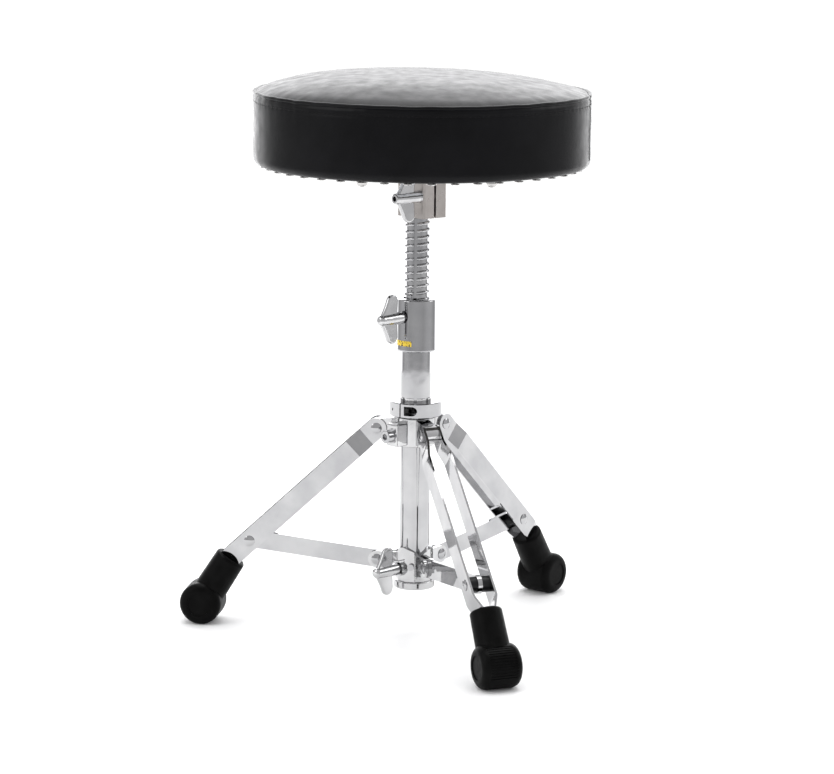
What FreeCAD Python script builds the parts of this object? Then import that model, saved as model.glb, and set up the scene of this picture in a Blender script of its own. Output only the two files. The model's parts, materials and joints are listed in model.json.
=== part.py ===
import FreeCAD, Part

import math
import os

from FreeCAD import Placement, Rotation, Vector

# A drum throne: a round padded seat on a screw spindle, over a folding tripod of double-strap legs.
# Millimetres, +Z up. The origin is on the floor, on the axis of the tube. Bearings are degrees from
# +X, anticlockwise seen from above. Each leg, brace and bolt is drawn in a frame of its own, where
# +X points away from the tube, and is then turned to its bearing.

# ---- Layout -------------------------------------------------------------------------------------
FRONT_LEG_BEARING = -68.7
LEG_BEARINGS = {
    "front": FRONT_LEG_BEARING,
    "right": FRONT_LEG_BEARING + 120.0,
    "left": FRONT_LEG_BEARING - 120.0,
}
BOLT_BEARING = -135.0        # the hub screw and the wing bolts of the sleeve and collar
SEAT_BOLT_BEARING = -140.0

RUNNING_GAP = 0.1            # radial gap of a pin or shaft that turns in a hole
SIDE_GAP = 0.2               # gap beside a part that swings between two others
PART_GAP = 0.3               # gap between curved faces that must not touch

# ---- Seat ---------------------------------------------------------------------------------------
SEAT_DIAMETER = 340.0
SEAT_OFF_AXIS = 4.0          # the seat's centre lies this far from the spindle, along +X
SEAT_UNDERSIDE = 483.0
SEAT_SIDE_HEIGHT = 76.0      # from the lower edge to the piping
SEAT_CROWN = 18.0            # rise of the top above the piping
COVER_THICKNESS = 1.4
COVER_EDGE_RADIUS = 10.0
COVER_HEM = 26.0             # how far the cover is turned in under the board
PIPING_RADIUS = 2.4
BOARD_THICKNESS = 12.0
TACK_COUNT = 44
TACK_BEARING = 3.3           # of the first tack, in the seat's own circle
TACK_RADIUS = 4.4
TACK_RISE = 1.7
TACK_INSET = 11.0            # from the seat's edge to the ring of tacks
TACK_SHANK_RADIUS = 0.8
TACK_SHANK_LENGTH = 8.0
BOARD_SCREW_RING = 148.0     # the four larger screws stand on this circle
BOARD_SCREW_MIDDLE = -88.0   # bearing halfway between the front two
BOARD_SCREW_SPREAD = 25.0    # either side of that bearing, at the front and at the back
BOARD_SCREW_RADIUS = 5.5
BOARD_SCREW_RISE = 6.2
BOARD_SCREW_SHANK_RADIUS = 2.0
BOARD_SCREW_SHANK_LENGTH = 10.0

# ---- Seat plate and clamp -----------------------------------------------------------------------
PLATE_SIZE = 120.0
PLATE_THICKNESS = 3.0
PLATE_CORNER = 14.0
PLATE_BOLT_SPACING = 94.0
PLATE_BOLT_RADIUS = 3.0
PLATE_NUT_WIDTH = 13.0
PLATE_NUT_HEIGHT = 7.0
PLATE_BOLT_PROUD = 3.0       # of the nut
BLOCK_BOTTOM = 432.0
BLOCK_FRONT = 15.0           # from the spindle's axis, towards the wing bolt
BLOCK_BACK = 16.0
BLOCK_PIN_SIDE = 15.0        # from the spindle's axis, along the saw slit
BLOCK_BOLT_SIDE = 27.0
BLOCK_SLIT = 2.6
BLOCK_CORNER = 3.0
BLOCK_BOLT_OFFSET = 20.0     # the bolt passes beside the pin
BLOCK_BOLT_HEIGHT = 454.0
CLAMP_WASHER_RADIUS = 6.5
CLAMP_WASHER_THICKNESS = 1.6

# ---- Spindle and sleeve -------------------------------------------------------------------------
THREAD_PITCH = 7.0
THREAD_ROOT_RADIUS = 11.35
THREAD_HEIGHT = 2.0
THREAD_WIDTH = 3.2
SPINDLE_BOTTOM = 216.0
THREAD_TOP = 429.0
SPINDLE_NECK_TOP = 430.0
PIN_RADIUS = 8.0
PIN_LENGTH = 38.0
SPINDLE_GROOVE_WIDTH = 3.2
SPINDLE_GROOVE_DEPTH = 1.2
SPINDLE_GROOVE_BEARING = -98.0
GUIDE_LENGTH = 14.0
GUIDE_SCREW_RADIUS = 3.0
GUIDE_SCREW_HEAD_RADIUS = 7.0
GUIDE_SCREW_HEAD = 4.0
GUIDE_SCREW_LENGTH = 34.0
SLEEVE_RADIUS = 20.3
SLEEVE_BOTTOM = 294.5
SLEEVE_TOP = 348.0
SLEEVE_EDGE = 2.0
SLEEVE_SOCKET_DEPTH = 36.0   # how far the tube goes up into the sleeve
SLEEVE_NOTCH_WIDTH = 4.6
SLEEVE_NOTCH_DEPTH = 3.0
SLEEVE_BOLT_HEIGHT = 330.0
LABEL_BOTTOM = 300.8
LABEL_HEIGHT = 5.4
LABEL_ARC = 58.0             # degrees round the sleeve
LABEL_BEARING = -133.0
LABEL_THICKNESS = 0.2

# ---- Tube, ring and hub -------------------------------------------------------------------------
TUBE_RADIUS = 15.3
TUBE_WALL = 1.5
TUBE_BOTTOM = 51.0
PLUG_THICKNESS = 3.0
PLUG_LENGTH = 12.0
PLUG_WALL = 2.0
RING_RADIUS = 26.8
RING_BOTTOM = 228.0
RING_HEIGHT = 15.0
RING_EDGE = 0.8
RING_SPLIT = 1.4
RING_SPLIT_BEARING = -126.0
RING_POCKET_HEIGHT = 9.5
RING_POCKET_START = 17.0     # tangential distance from the split to the pocket's flat end
RING_POCKET_LENGTH = 12.5
RING_SCREW_RADIUS = 2.5
RING_SCREW_LENGTH = 16.0     # under the head, so that it ends inside the ring
RING_SCREW_HEAD_RADIUS = 4.2
RING_SCREW_HEAD = 5.0
COLLET_WALL = 1.2
COLLET_SLOTS = 8
COLLET_SLOT = 3.4
COLLET_RISE = 3.6            # above the ring
HUB_RADIUS = 20.0
HUB_BOTTOM = 197.0
HUB_TOP = 226.5
HUB_BOSS_REACH = 34.0
HUB_BOSS_WIDTH = 15.0
HUB_BOSS_BOTTOM = 199.0
HUB_BOSS_TOP = 222.0
HUB_SCREW_HEIGHT = 210.0
CAP_SCREW_RADIUS = 4.0
CAP_HEAD_RADIUS = 6.5
CAP_HEAD = 8.0
CAP_SOCKET = 3.2             # across half the hexagon's corners
WASHER_RADIUS = 7.6
WASHER_THICKNESS = 1.6

# ---- Legs ---------------------------------------------------------------------------------------
HUB_PIVOT_RADIUS = 39.0      # from the tube's axis to the leg's upper rivet
HUB_PIVOT_HEIGHT = 213.5
LEG_RIVET_SPACING = 180.0    # from the upper rivet to the brace rivet
LEG_ANGLE = 46.8             # from straight down, with the legs open
STRAP_WIDTH = 21.0
STRAP_THICKNESS = 2.2
STRAP_BEND_RADIUS = 14.0     # of the bends either side of a joggle
STRAP_GAP_AT_HUB = 14.2      # between the two straps
STRAP_GAP = 21.6
STRAP_GAP_AT_FOOT = 6.4
UPPER_JOGGLE = (15.0, 31.0)  # along the leg, from the upper rivet
LOWER_JOGGLE = (19.0, 38.0)  # along the leg, beyond the brace rivet
STRAP_END = 52.0             # beyond the brace rivet, inside the foot
LUG_END_RADIUS = 9.5
RIVET_RADIUS = 4.0
RIVET_HEAD_RADIUS = 5.6
RIVET_HEAD = 1.9

# ---- Braces and collar --------------------------------------------------------------------------
COLLAR_PIVOT_RADIUS = 38.0
COLLAR_PIVOT_HEIGHT = 75.5
BRACE_WIDTH = 18.6
BRACE_THICKNESS = 4.5
SPACER_RADIUS = 8.0
EAR_THICKNESS = 3.6
EAR_RADIUS = 9.0
COLLAR_RADIUS = 19.2
COLLAR_FLANGE_RADIUS = 21.2
COLLAR_BOTTOM = 48.0
COLLAR_FLANGE_HEIGHT = 8.0
COLLAR_TOP = 92.0
COLLAR_SHOULDER = 84.0       # the sides of the pointed rim come down to here
COLLAR_BOSS_REACH = 25.0
COLLAR_BOSS_RADIUS = 8.0
COLLAR_BOLT_HEIGHT = 70.0
COLLAR_SCREW_RADIUS = 3.4
COLLAR_SCREW_HEIGHT = 72.0
COLLAR_SCREW_PROUD = 2.6
COLLAR_SCREW_BEARINGS = (-100.0, -40.0)

# ---- Wing bolts ---------------------------------------------------------------------------------
WING_SHANK_RADIUS = 4.0
WING_BARREL_RADIUS = 6.4     # at its inner end
WING_BARREL_END_RADIUS = 5.4
WING_BARREL_LENGTH = 30.0
WING_BARREL_ROUNDING = 4.0   # of a barrel with a solid end
WING_BARREL_RIM = 1.6        # of a barrel with a hollow end
WING_HALF_SPAN = 25.0
WING_THICKNESS = 5.0
WING_EDGE = 1.8
WING_ROOT = 6.0              # from the barrel's inner end to the wings
WING_TIP_RADIUS = 7.0
WING_TIP_REACH = 12.0        # the tip's centre, along the barrel from its inner end
WING_HOLE_RADIUS = 2.6
WING_HOLE_DEPTH = 8.0

# ---- Feet ---------------------------------------------------------------------------------------
FOOT_RADIUS = 222.0          # from the tube's axis to the barrel of the foot
FOOT_BARREL_RADIUS = 21.8
FOOT_FLAT = 0.4              # worn off the barrel where it stands on the floor
FOOT_BARREL_LENGTH = 42.0
FOOT_BARREL_EDGE = 8.0
FOOT_DISC_RADIUS = 12.0
FOOT_DISC_DEPTH = 0.8
FOOT_SLEEVE_LOW_RADIUS = 17.2
FOOT_SLEEVE_TOP_RADIUS = 16.0
FOOT_SLEEVE_LENGTH = 57.0    # from the barrel's axis to the mouth
FOOT_SLEEVE_SLOPE = 58.0     # degrees above the floor
FOOT_MOUTH_EDGE = 3.0
FOOT_POCKET_GAP = 0.15
FOOT_TREAD_COUNT = 13
FOOT_TREAD_STEP = 7.5        # degrees
FOOT_TREAD_START = -18.0     # degrees above the level, on the outer side
FOOT_TREAD_DEPTH = 0.6
FOOT_TREAD_WIDTH = 1.0

# ---- Worked out ---------------------------------------------------------------------------------
UP = Vector(0, 0, 1)
OUT = Vector(1, 0, 0)
ACROSS = Vector(0, 1, 0)
SEAT_RADIUS = SEAT_DIAMETER / 2
PIPING_HEIGHT = SEAT_UNDERSIDE + SEAT_SIDE_HEIGHT
BOARD_BOTTOM = SEAT_UNDERSIDE + COVER_THICKNESS
TUBE_BORE = TUBE_RADIUS - TUBE_WALL
BORE_FOR_SPINDLE = THREAD_ROOT_RADIUS + THREAD_HEIGHT + PART_GAP
TUBE_TOP = SLEEVE_BOTTOM + SLEEVE_SOCKET_DEPTH
LEG_DIRECTION = Vector(math.sin(math.radians(LEG_ANGLE)), 0, -math.cos(math.radians(LEG_ANGLE)))
HUB_PIVOT = Vector(HUB_PIVOT_RADIUS, 0, HUB_PIVOT_HEIGHT)
BRACE_PIVOT = HUB_PIVOT + LEG_DIRECTION * LEG_RIVET_SPACING
COLLAR_PIVOT = Vector(COLLAR_PIVOT_RADIUS, 0, COLLAR_PIVOT_HEIGHT)
FOOT_CENTRE = Vector(FOOT_RADIUS, 0, FOOT_BARREL_RADIUS - FOOT_FLAT)
EAR_GAP = BRACE_THICKNESS + 2 * SIDE_GAP
PLATE_TOP = BOARD_BOTTOM


# ---- Helpers ------------------------------------------------------------------------------------
def rod(radius, start, direction, length):
    """A cylinder from start, along direction."""
    return Part.makeCylinder(radius, length, start, direction)


def tube(outer, inner, bottom, top):
    """A vertical tube on the Z axis."""
    height = top - bottom
    base = Vector(0, 0, bottom)
    return rod(outer, base, UP, height).cut(rod(inner, base - UP, UP, height + 2))


def block(x, y, z):
    """A box between (low, high) pairs."""
    size = (x[1] - x[0], y[1] - y[0], z[1] - z[0])
    return Part.makeBox(*size, Vector(x[0], y[0], z[0]))


def turned(shape, bearing):
    """A copy, turned about the Z axis."""
    copy = shape.copy()
    copy.rotate(Vector(), UP, bearing)
    return copy


def hexagon(width, start, direction, length):
    """A hexagonal prism, width across flats."""
    corner = width / math.sqrt(3)
    turn = Rotation(UP, direction)
    points = []
    for i in range(7):
        angle = math.radians(60 * i)
        arm = Vector(corner * math.cos(angle), corner * math.sin(angle), 0)
        points.append(start + turn.multVec(arm))
    return Part.Face(Part.makePolygon(points)).extrude(direction * length)


def revolved(edges):
    """The solid of revolution of a closed outline in the XZ plane."""
    return Part.Face(Part.Wire(edges)).revolve(Vector(), UP, 360)


def line(a, b):
    return Part.LineSegment(a, b).toShape()


def arc(a, middle, b):
    return Part.Arc(a, middle, b).toShape()


def polygon_prism(points, direction):
    """A flat outline, closed and pushed along direction."""
    return Part.Face(Part.makePolygon(points + [points[0]])).extrude(direction)


def round_head(radius, rise, base, direction):
    """The domed head of a rivet or tack: a cap of a sphere on a short rim."""
    rim = rise * 0.3
    cap = rise - rim
    ball = (radius**2 + cap**2) / (2 * cap)
    centre = base + direction * (rise - ball)
    sphere = Part.makeSphere(ball, centre)
    return rod(radius, base, direction, rise).common(sphere)


def save(name, *solids):
    shape = solids[0] if len(solids) == 1 else Part.makeCompound(list(solids))
    shape.exportStep(f"parts/{name}.step")


# ---- Seat ---------------------------------------------------------------------------------------
def crown_edge(radius, base, rise):
    """Half of the domed top's outline, from the rim to the middle."""
    ball = (radius**2 + rise**2) / (2 * rise)
    half = math.asin(radius / ball) / 2
    middle = Vector(ball * math.sin(half), 0, base + rise - ball + ball * math.cos(half))
    return arc(Vector(radius, 0, base), middle, Vector(0, 0, base + rise))


def seat_place(shape):
    """Moves a seat part from the spindle's axis to the seat's centre."""
    return shape.translated(Vector(SEAT_OFF_AXIS, 0, 0))


def seat_top_panel():
    """The domed leatherette disc over the foam."""
    rim = SEAT_RADIUS - PIPING_RADIUS
    low = PIPING_HEIGHT
    high = low + COVER_THICKNESS
    edges = [
        line(Vector(0, 0, low + SEAT_CROWN - COVER_THICKNESS), Vector(0, 0, low + SEAT_CROWN)),
        crown_edge(rim, high, SEAT_CROWN - COVER_THICKNESS),
        line(Vector(rim, 0, high), Vector(rim, 0, low)),
        crown_edge(rim, low, SEAT_CROWN - COVER_THICKNESS),
    ]
    return seat_place(revolved(edges))


def seat_piping():
    """The welt sewn round the top edge."""
    ring = Part.makeTorus(SEAT_RADIUS, PIPING_RADIUS, Vector(0, 0, PIPING_HEIGHT), UP)
    return seat_place(ring)


def seat_side_band():
    """The upright band of the cover, turned in under the board."""
    top = PIPING_HEIGHT - PIPING_RADIUS
    outer = SEAT_RADIUS
    inner = outer - COVER_THICKNESS
    hem = outer - COVER_HEM
    curve = COVER_EDGE_RADIUS
    low = SEAT_UNDERSIDE
    bend = Vector(outer - curve, 0, low + curve)
    slant = Vector(math.cos(math.pi / 4), 0, -math.sin(math.pi / 4))
    inside = curve - COVER_THICKNESS
    edges = [
        line(Vector(inner, 0, top), Vector(outer, 0, top)),
        line(Vector(outer, 0, top), Vector(outer, 0, low + curve)),
        arc(Vector(outer, 0, low + curve), bend + slant * curve, Vector(outer - curve, 0, low)),
        line(Vector(outer - curve, 0, low), Vector(hem, 0, low)),
        line(Vector(hem, 0, low), Vector(hem, 0, low + COVER_THICKNESS)),
        line(Vector(hem, 0, low + COVER_THICKNESS), Vector(outer - curve, 0, low + COVER_THICKNESS)),
        arc(
            Vector(outer - curve, 0, low + COVER_THICKNESS),
            bend + slant * inside,
            Vector(inner, 0, low + curve),
        ),
        line(Vector(inner, 0, low + curve), Vector(inner, 0, top)),
    ]
    return seat_place(revolved(edges)).cut(cover_fixings())


def seat_board():
    """The plywood disc that the cover is tacked to."""
    radius = SEAT_RADIUS - COVER_THICKNESS - COVER_EDGE_RADIUS
    board = rod(radius, Vector(0, 0, BOARD_BOTTOM), UP, BOARD_THICKNESS)
    board = seat_place(board)
    depth = BOARD_THICKNESS + 2
    holes = [rod(PLATE_BOLT_RADIUS, point - UP, UP, depth) for point in plate_bolt_points()]
    board = board.cut(turned(Part.makeCompound(holes), SEAT_BOLT_BEARING))
    return board.cut(cover_fixings())


def seat_foam():
    """The foam pad, from the board to the crown, inside the cover."""
    radius = SEAT_RADIUS - COVER_THICKNESS - PART_GAP
    low = BOARD_BOTTOM + BOARD_THICKNESS
    high = PIPING_HEIGHT - PIPING_RADIUS - PART_GAP
    crown = high + PIPING_RADIUS
    shoulder = radius - PIPING_RADIUS - COVER_THICKNESS
    edges = [
        line(Vector(0, 0, low), Vector(radius, 0, low)),
        line(Vector(radius, 0, low), Vector(radius, 0, high)),
        line(Vector(radius, 0, high), Vector(shoulder, 0, crown)),
        crown_edge(shoulder, crown, SEAT_CROWN - 2 * COVER_THICKNESS),
        line(Vector(0, 0, crown + SEAT_CROWN - 2 * COVER_THICKNESS), Vector(0, 0, low)),
    ]
    return seat_place(revolved(edges))


def tack_points():
    """Where each tack's head lies on the underside of the cover."""
    ring = SEAT_RADIUS - TACK_INSET
    for i in range(TACK_COUNT):
        angle = math.radians(TACK_BEARING + 360 * i / TACK_COUNT)
        x = SEAT_OFF_AXIS + ring * math.cos(angle)
        yield Vector(x, ring * math.sin(angle), SEAT_UNDERSIDE)


def board_screw_points():
    """Where each of the four larger screws meets the underside of the cover."""
    for middle in (BOARD_SCREW_MIDDLE, BOARD_SCREW_MIDDLE + 180):
        for side in (-BOARD_SCREW_SPREAD, BOARD_SCREW_SPREAD):
            angle = math.radians(middle + side)
            x = SEAT_OFF_AXIS + BOARD_SCREW_RING * math.cos(angle)
            yield Vector(x, BOARD_SCREW_RING * math.sin(angle), SEAT_UNDERSIDE)


def board_screw_shank(point):
    return rod(BOARD_SCREW_SHANK_RADIUS, point, UP, BOARD_SCREW_SHANK_LENGTH)


def cover_fixings():
    """The nails and screws that pass through the cover and up into the board."""
    nails = [rod(TACK_SHANK_RADIUS, point, UP, TACK_SHANK_LENGTH) for point in tack_points()]
    screws = [board_screw_shank(point) for point in board_screw_points()]
    return Part.makeCompound(nails + screws)


def cover_tacks():
    """Domed tacks, each a head and its nail."""
    tacks = []
    for point in tack_points():
        nail = rod(TACK_SHANK_RADIUS, point, UP, TACK_SHANK_LENGTH)
        tacks.append(round_head(TACK_RADIUS, TACK_RISE, point, -UP).fuse(nail))
    return tacks


def board_screws():
    """Pan-headed screws that hold the hem of the cover down, larger than the tacks."""
    screws = []
    for point in board_screw_points():
        head = round_head(BOARD_SCREW_RADIUS, BOARD_SCREW_RISE, point, -UP)
        screws.append(head.fuse(board_screw_shank(point)))
    return screws


def plate_bolt_points():
    """The four bolts of the seat plate, where they pass the plate's top face."""
    half = PLATE_BOLT_SPACING / 2
    for x in (-half, half):
        for y in (-half, half):
            yield Vector(x, y, PLATE_TOP)


def seat_plate():
    """The steel plate under the board that the clamp block hangs from."""
    half = PLATE_SIZE / 2
    plate = block((-half, half), (-half, half), (PLATE_TOP - PLATE_THICKNESS, PLATE_TOP))
    plate = plate.makeFillet(PLATE_CORNER, [e for e in plate.Edges if is_upright(e)])
    for point in plate_bolt_points():
        plate = plate.cut(rod(PLATE_BOLT_RADIUS, point - UP * 10, UP, 20))
    return turned(plate, SEAT_BOLT_BEARING)


def is_upright(edge):
    """True for a straight vertical edge."""
    start, end = edge.Vertexes[0].Point, edge.Vertexes[-1].Point
    return abs(start.x - end.x) < 1e-6 and abs(start.y - end.y) < 1e-6 and abs(start.z - end.z) > 1e-6


def plate_bolts():
    """The bolts through board and plate, with their flat heads sunk in the top of the board."""
    bolts = []
    length = BOARD_THICKNESS + PLATE_THICKNESS + PLATE_NUT_HEIGHT + PLATE_BOLT_PROUD
    for point in plate_bolt_points():
        top = Vector(point.x, point.y, BOARD_BOTTOM + BOARD_THICKNESS)
        bolts.append(turned(rod(PLATE_BOLT_RADIUS, top, -UP, length), SEAT_BOLT_BEARING))
    return bolts


def plate_nuts():
    """The hexagon nuts under the plate."""
    nuts = []
    for point in plate_bolt_points():
        low = point - UP * (PLATE_THICKNESS + PLATE_NUT_HEIGHT)
        nut = hexagon(PLATE_NUT_WIDTH, low, UP, PLATE_NUT_HEIGHT)
        nut = nut.cut(rod(PLATE_BOLT_RADIUS, low - UP, UP, PLATE_NUT_HEIGHT + 2))
        nuts.append(turned(nut, SEAT_BOLT_BEARING))
    return nuts


def seat_clamp_block():
    """The split block under the plate. The wing bolt closes its saw slit on the spindle's pin."""
    top = PLATE_TOP - PLATE_THICKNESS
    sides = (-BLOCK_PIN_SIDE, BLOCK_BOLT_SIDE)
    body = block((-BLOCK_BACK, BLOCK_FRONT), sides, (BLOCK_BOTTOM, top))
    body = body.makeFillet(BLOCK_CORNER, [e for e in body.Edges if is_upright(e)])
    slit_top = BLOCK_BOTTOM + PIN_LENGTH + 2
    half = BLOCK_SLIT / 2
    slit = block((-half, half), (0, BLOCK_BOLT_SIDE + 1), (BLOCK_BOTTOM - 1, slit_top))
    bore = rod(PIN_RADIUS + RUNNING_GAP, Vector(0, 0, BLOCK_BOTTOM - 1), UP, PIN_LENGTH + 3)
    start = Vector(BLOCK_FRONT + 1, BLOCK_BOLT_OFFSET, BLOCK_BOLT_HEIGHT)
    depth = BLOCK_FRONT + BLOCK_BACK - 2
    bolt_hole = rod(WING_SHANK_RADIUS + RUNNING_GAP, start, -OUT, depth)
    return turned(body.cut(slit).cut(bore).cut(bolt_hole), SEAT_BOLT_BEARING)


def seat_clamp_washer():
    start = Vector(BLOCK_FRONT, BLOCK_BOLT_OFFSET, BLOCK_BOLT_HEIGHT)
    ring = rod(CLAMP_WASHER_RADIUS, start, OUT, CLAMP_WASHER_THICKNESS)
    hole = rod(WING_SHANK_RADIUS + RUNNING_GAP, start - OUT, OUT, CLAMP_WASHER_THICKNESS + 2)
    return turned(ring.cut(hole), SEAT_BOLT_BEARING)


# ---- Wing bolts ---------------------------------------------------------------------------------
def wing_outline():
    """Half of the wing pair, above the barrel, in the plane of the barrel's axis and the wings."""
    tip = Vector(WING_TIP_REACH, 0, WING_HALF_SPAN - WING_TIP_RADIUS)
    r = WING_TIP_RADIUS
    root = Vector(WING_ROOT, 0, 0)
    inner = Vector(tip.x - r, 0, tip.z)
    outer = Vector(tip.x + r * math.cos(math.radians(20)), 0, tip.z + r * math.sin(math.radians(20)))
    waist = Vector(WING_BARREL_LENGTH - 3.5, 0, WING_BARREL_END_RADIUS)
    end = Vector(WING_BARREL_LENGTH - 5, 0, 0)
    swell = Vector((outer.x + waist.x) / 2 - 0.6, 0, (outer.z + waist.z) / 2)
    return [
        line(root, inner),
        arc(inner, tip + Vector(0, 0, r), outer),
        arc(outer, swell, waist),
        line(waist, end),
        line(end, root),
    ]


def wing_bolt(shank_length, start, bearing, hollow=False):
    """A cast butterfly bolt. start is where the barrel's inner end lies, in the bolt's own frame."""
    half = Part.Face(Part.Wire(wing_outline())).extrude(ACROSS * WING_THICKNESS)
    half.translate(ACROSS * (-WING_THICKNESS / 2))
    flat = WING_THICKNESS / 2
    rims = [e for e in half.Edges if abs(abs(e.CenterOfMass.y) - flat) < 0.01]
    rims = [e for e in rims if e.CenterOfMass.z > WING_BARREL_RADIUS]
    half = half.makeFillet(WING_EDGE, rims)
    other = half.copy()
    other.rotate(Vector(), OUT, 180)
    barrel = Part.makeCone(
        WING_BARREL_RADIUS, WING_BARREL_END_RADIUS, WING_BARREL_LENGTH, Vector(), OUT
    )
    rim = [e for e in barrel.Edges if e.Length > 1 and abs(e.CenterOfMass.x - WING_BARREL_LENGTH) < 0.1]
    barrel = barrel.makeFillet(WING_BARREL_RIM if hollow else WING_BARREL_ROUNDING, rim)
    shank = rod(WING_SHANK_RADIUS, Vector(), -OUT, shank_length)
    bolt = barrel.fuse([half, other, shank]).removeSplitter()
    if hollow:
        mouth = Vector(WING_BARREL_LENGTH + 1, 0, 0)
        bolt = bolt.cut(rod(WING_HOLE_RADIUS, mouth, -OUT, WING_HOLE_DEPTH + 1))
    return turned(bolt.translated(start), bearing)


# ---- Spindle and sleeve -------------------------------------------------------------------------
def thread_ridge():
    """The rounded ridge of the spindle's coarse right-hand thread."""
    height = THREAD_TOP - SPINDLE_BOTTOM - THREAD_PITCH
    base = THREAD_ROOT_RADIUS - 0.4
    helix = Part.makeHelix(THREAD_PITCH, height, base)
    half = THREAD_WIDTH / 2
    crest = THREAD_ROOT_RADIUS + THREAD_HEIGHT
    outline = Part.Wire([
        line(Vector(base, 0, -half), Vector(base, 0, half)),
        arc(Vector(base, 0, half), Vector(crest, 0, 0), Vector(base, 0, -half)),
    ])
    sweep = Part.BRepOffsetAPI.MakePipeShell(helix)
    sweep.setFrenetMode(True)
    sweep.add(outline)
    sweep.build()
    sweep.makeSolid()
    ridge = sweep.shape()
    ridge.translate(Vector(0, 0, SPINDLE_BOTTOM + THREAD_PITCH))
    return ridge


def spindle():
    """The screw spindle: threaded shank, plain neck, and the pin that the seat clamp holds."""
    core = rod(THREAD_ROOT_RADIUS, Vector(0, 0, SPINDLE_BOTTOM), UP, SPINDLE_NECK_TOP - SPINDLE_BOTTOM)
    pin = rod(PIN_RADIUS, Vector(0, 0, SPINDLE_NECK_TOP), UP, BLOCK_BOTTOM - SPINDLE_NECK_TOP + PIN_LENGTH)
    screw = core.fuse(thread_ridge())
    reach = THREAD_ROOT_RADIUS + THREAD_HEIGHT + 1
    inner = THREAD_ROOT_RADIUS - SPINDLE_GROOVE_DEPTH
    half = SPINDLE_GROOVE_WIDTH / 2
    groove = block((inner, reach), (-half, half), (SPINDLE_BOTTOM - 1, SPINDLE_NECK_TOP + 1))
    screw = screw.cut(turned(groove, SPINDLE_GROOVE_BEARING))
    hole = rod(GUIDE_SCREW_RADIUS, Vector(0, 0, SPINDLE_BOTTOM - 1), UP, GUIDE_SCREW_LENGTH)
    return screw.fuse(pin).cut(hole)


def spindle_guide():
    """The nylon bush on the spindle's lower end. It slides in the tube and doesn't turn."""
    top = SPINDLE_BOTTOM - RUNNING_GAP
    return tube(TUBE_BORE - RUNNING_GAP, GUIDE_SCREW_RADIUS + RUNNING_GAP, top - GUIDE_LENGTH, top)


def guide_screw():
    """The screw that holds the bush, and lets the spindle turn above it."""
    head_top = SPINDLE_BOTTOM - GUIDE_LENGTH - 2 * RUNNING_GAP
    head = rod(GUIDE_SCREW_HEAD_RADIUS, Vector(0, 0, head_top), -UP, GUIDE_SCREW_HEAD)
    length = SPINDLE_BOTTOM - 1 + GUIDE_SCREW_LENGTH - head_top
    shank = rod(GUIDE_SCREW_RADIUS, Vector(0, 0, head_top), UP, length)
    socket = hexagon(GUIDE_SCREW_RADIUS * 1.7, Vector(0, 0, head_top - GUIDE_SCREW_HEAD - 1), UP, 3.5)
    return head.fuse(shank).cut(socket)


def threaded_sleeve():
    """The sleeve fixed on the tube's top end, that the spindle screws through."""
    sleeve = rod(SLEEVE_RADIUS, Vector(0, 0, SLEEVE_BOTTOM), UP, SLEEVE_TOP - SLEEVE_BOTTOM)
    rims = [e for e in sleeve.Edges if e.Length > 100]
    sleeve = sleeve.makeFillet(SLEEVE_EDGE, rims)
    sleeve = sleeve.cut(rod(BORE_FOR_SPINDLE, Vector(0, 0, SLEEVE_BOTTOM - 1), UP, 100))
    sleeve = sleeve.cut(rod(TUBE_RADIUS, Vector(0, 0, SLEEVE_BOTTOM - 1), UP, SLEEVE_SOCKET_DEPTH + 1))
    half = SLEEVE_NOTCH_WIDTH / 2
    notch = block((0, SLEEVE_RADIUS), (-half, half), (SLEEVE_TOP - SLEEVE_NOTCH_DEPTH, SLEEVE_TOP + 1))
    notch = notch.common(rod(BORE_FOR_SPINDLE + 2.5, Vector(0, 0, SLEEVE_BOTTOM), UP, 100))
    sleeve = sleeve.cut(turned(notch, SPINDLE_GROOVE_BEARING))
    hole = rod(WING_SHANK_RADIUS + RUNNING_GAP, Vector(0, 0, SLEEVE_BOLT_HEIGHT), OUT, SLEEVE_RADIUS + 1)
    return sleeve.cut(turned(hole, BOLT_BEARING))


def sleeve_label():
    """A thin sticker, bent round the foot of the sleeve."""
    outer = SLEEVE_RADIUS + LABEL_THICKNESS
    band = tube(outer, SLEEVE_RADIUS, LABEL_BOTTOM, LABEL_BOTTOM + LABEL_HEIGHT)
    wedge = Part.makeCylinder(outer + 5, 100, Vector(0, 0, LABEL_BOTTOM - 20), UP, LABEL_ARC)
    return band.common(turned(wedge, LABEL_BEARING - LABEL_ARC / 2))


# ---- Tube, ring and hub -------------------------------------------------------------------------
def main_tube():
    """The tube from the collar up into the sleeve, with a hole for the point of the sleeve's bolt."""
    body = tube(TUBE_RADIUS, TUBE_BORE, TUBE_BOTTOM, TUBE_TOP)
    hole = rod(WING_SHANK_RADIUS + RUNNING_GAP, Vector(0, 0, SLEEVE_BOLT_HEIGHT), OUT, TUBE_RADIUS + 1)
    return body.cut(turned(hole, BOLT_BEARING))


def tube_end_plug():
    """The plastic cap pressed into the bottom of the tube."""
    cap = rod(TUBE_BORE, Vector(0, 0, TUBE_BOTTOM), UP, PLUG_LENGTH)
    hollow = rod(TUBE_BORE - PLUG_WALL, Vector(0, 0, TUBE_BOTTOM + PLUG_THICKNESS), UP, PLUG_LENGTH)
    return cap.cut(hollow)


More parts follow.
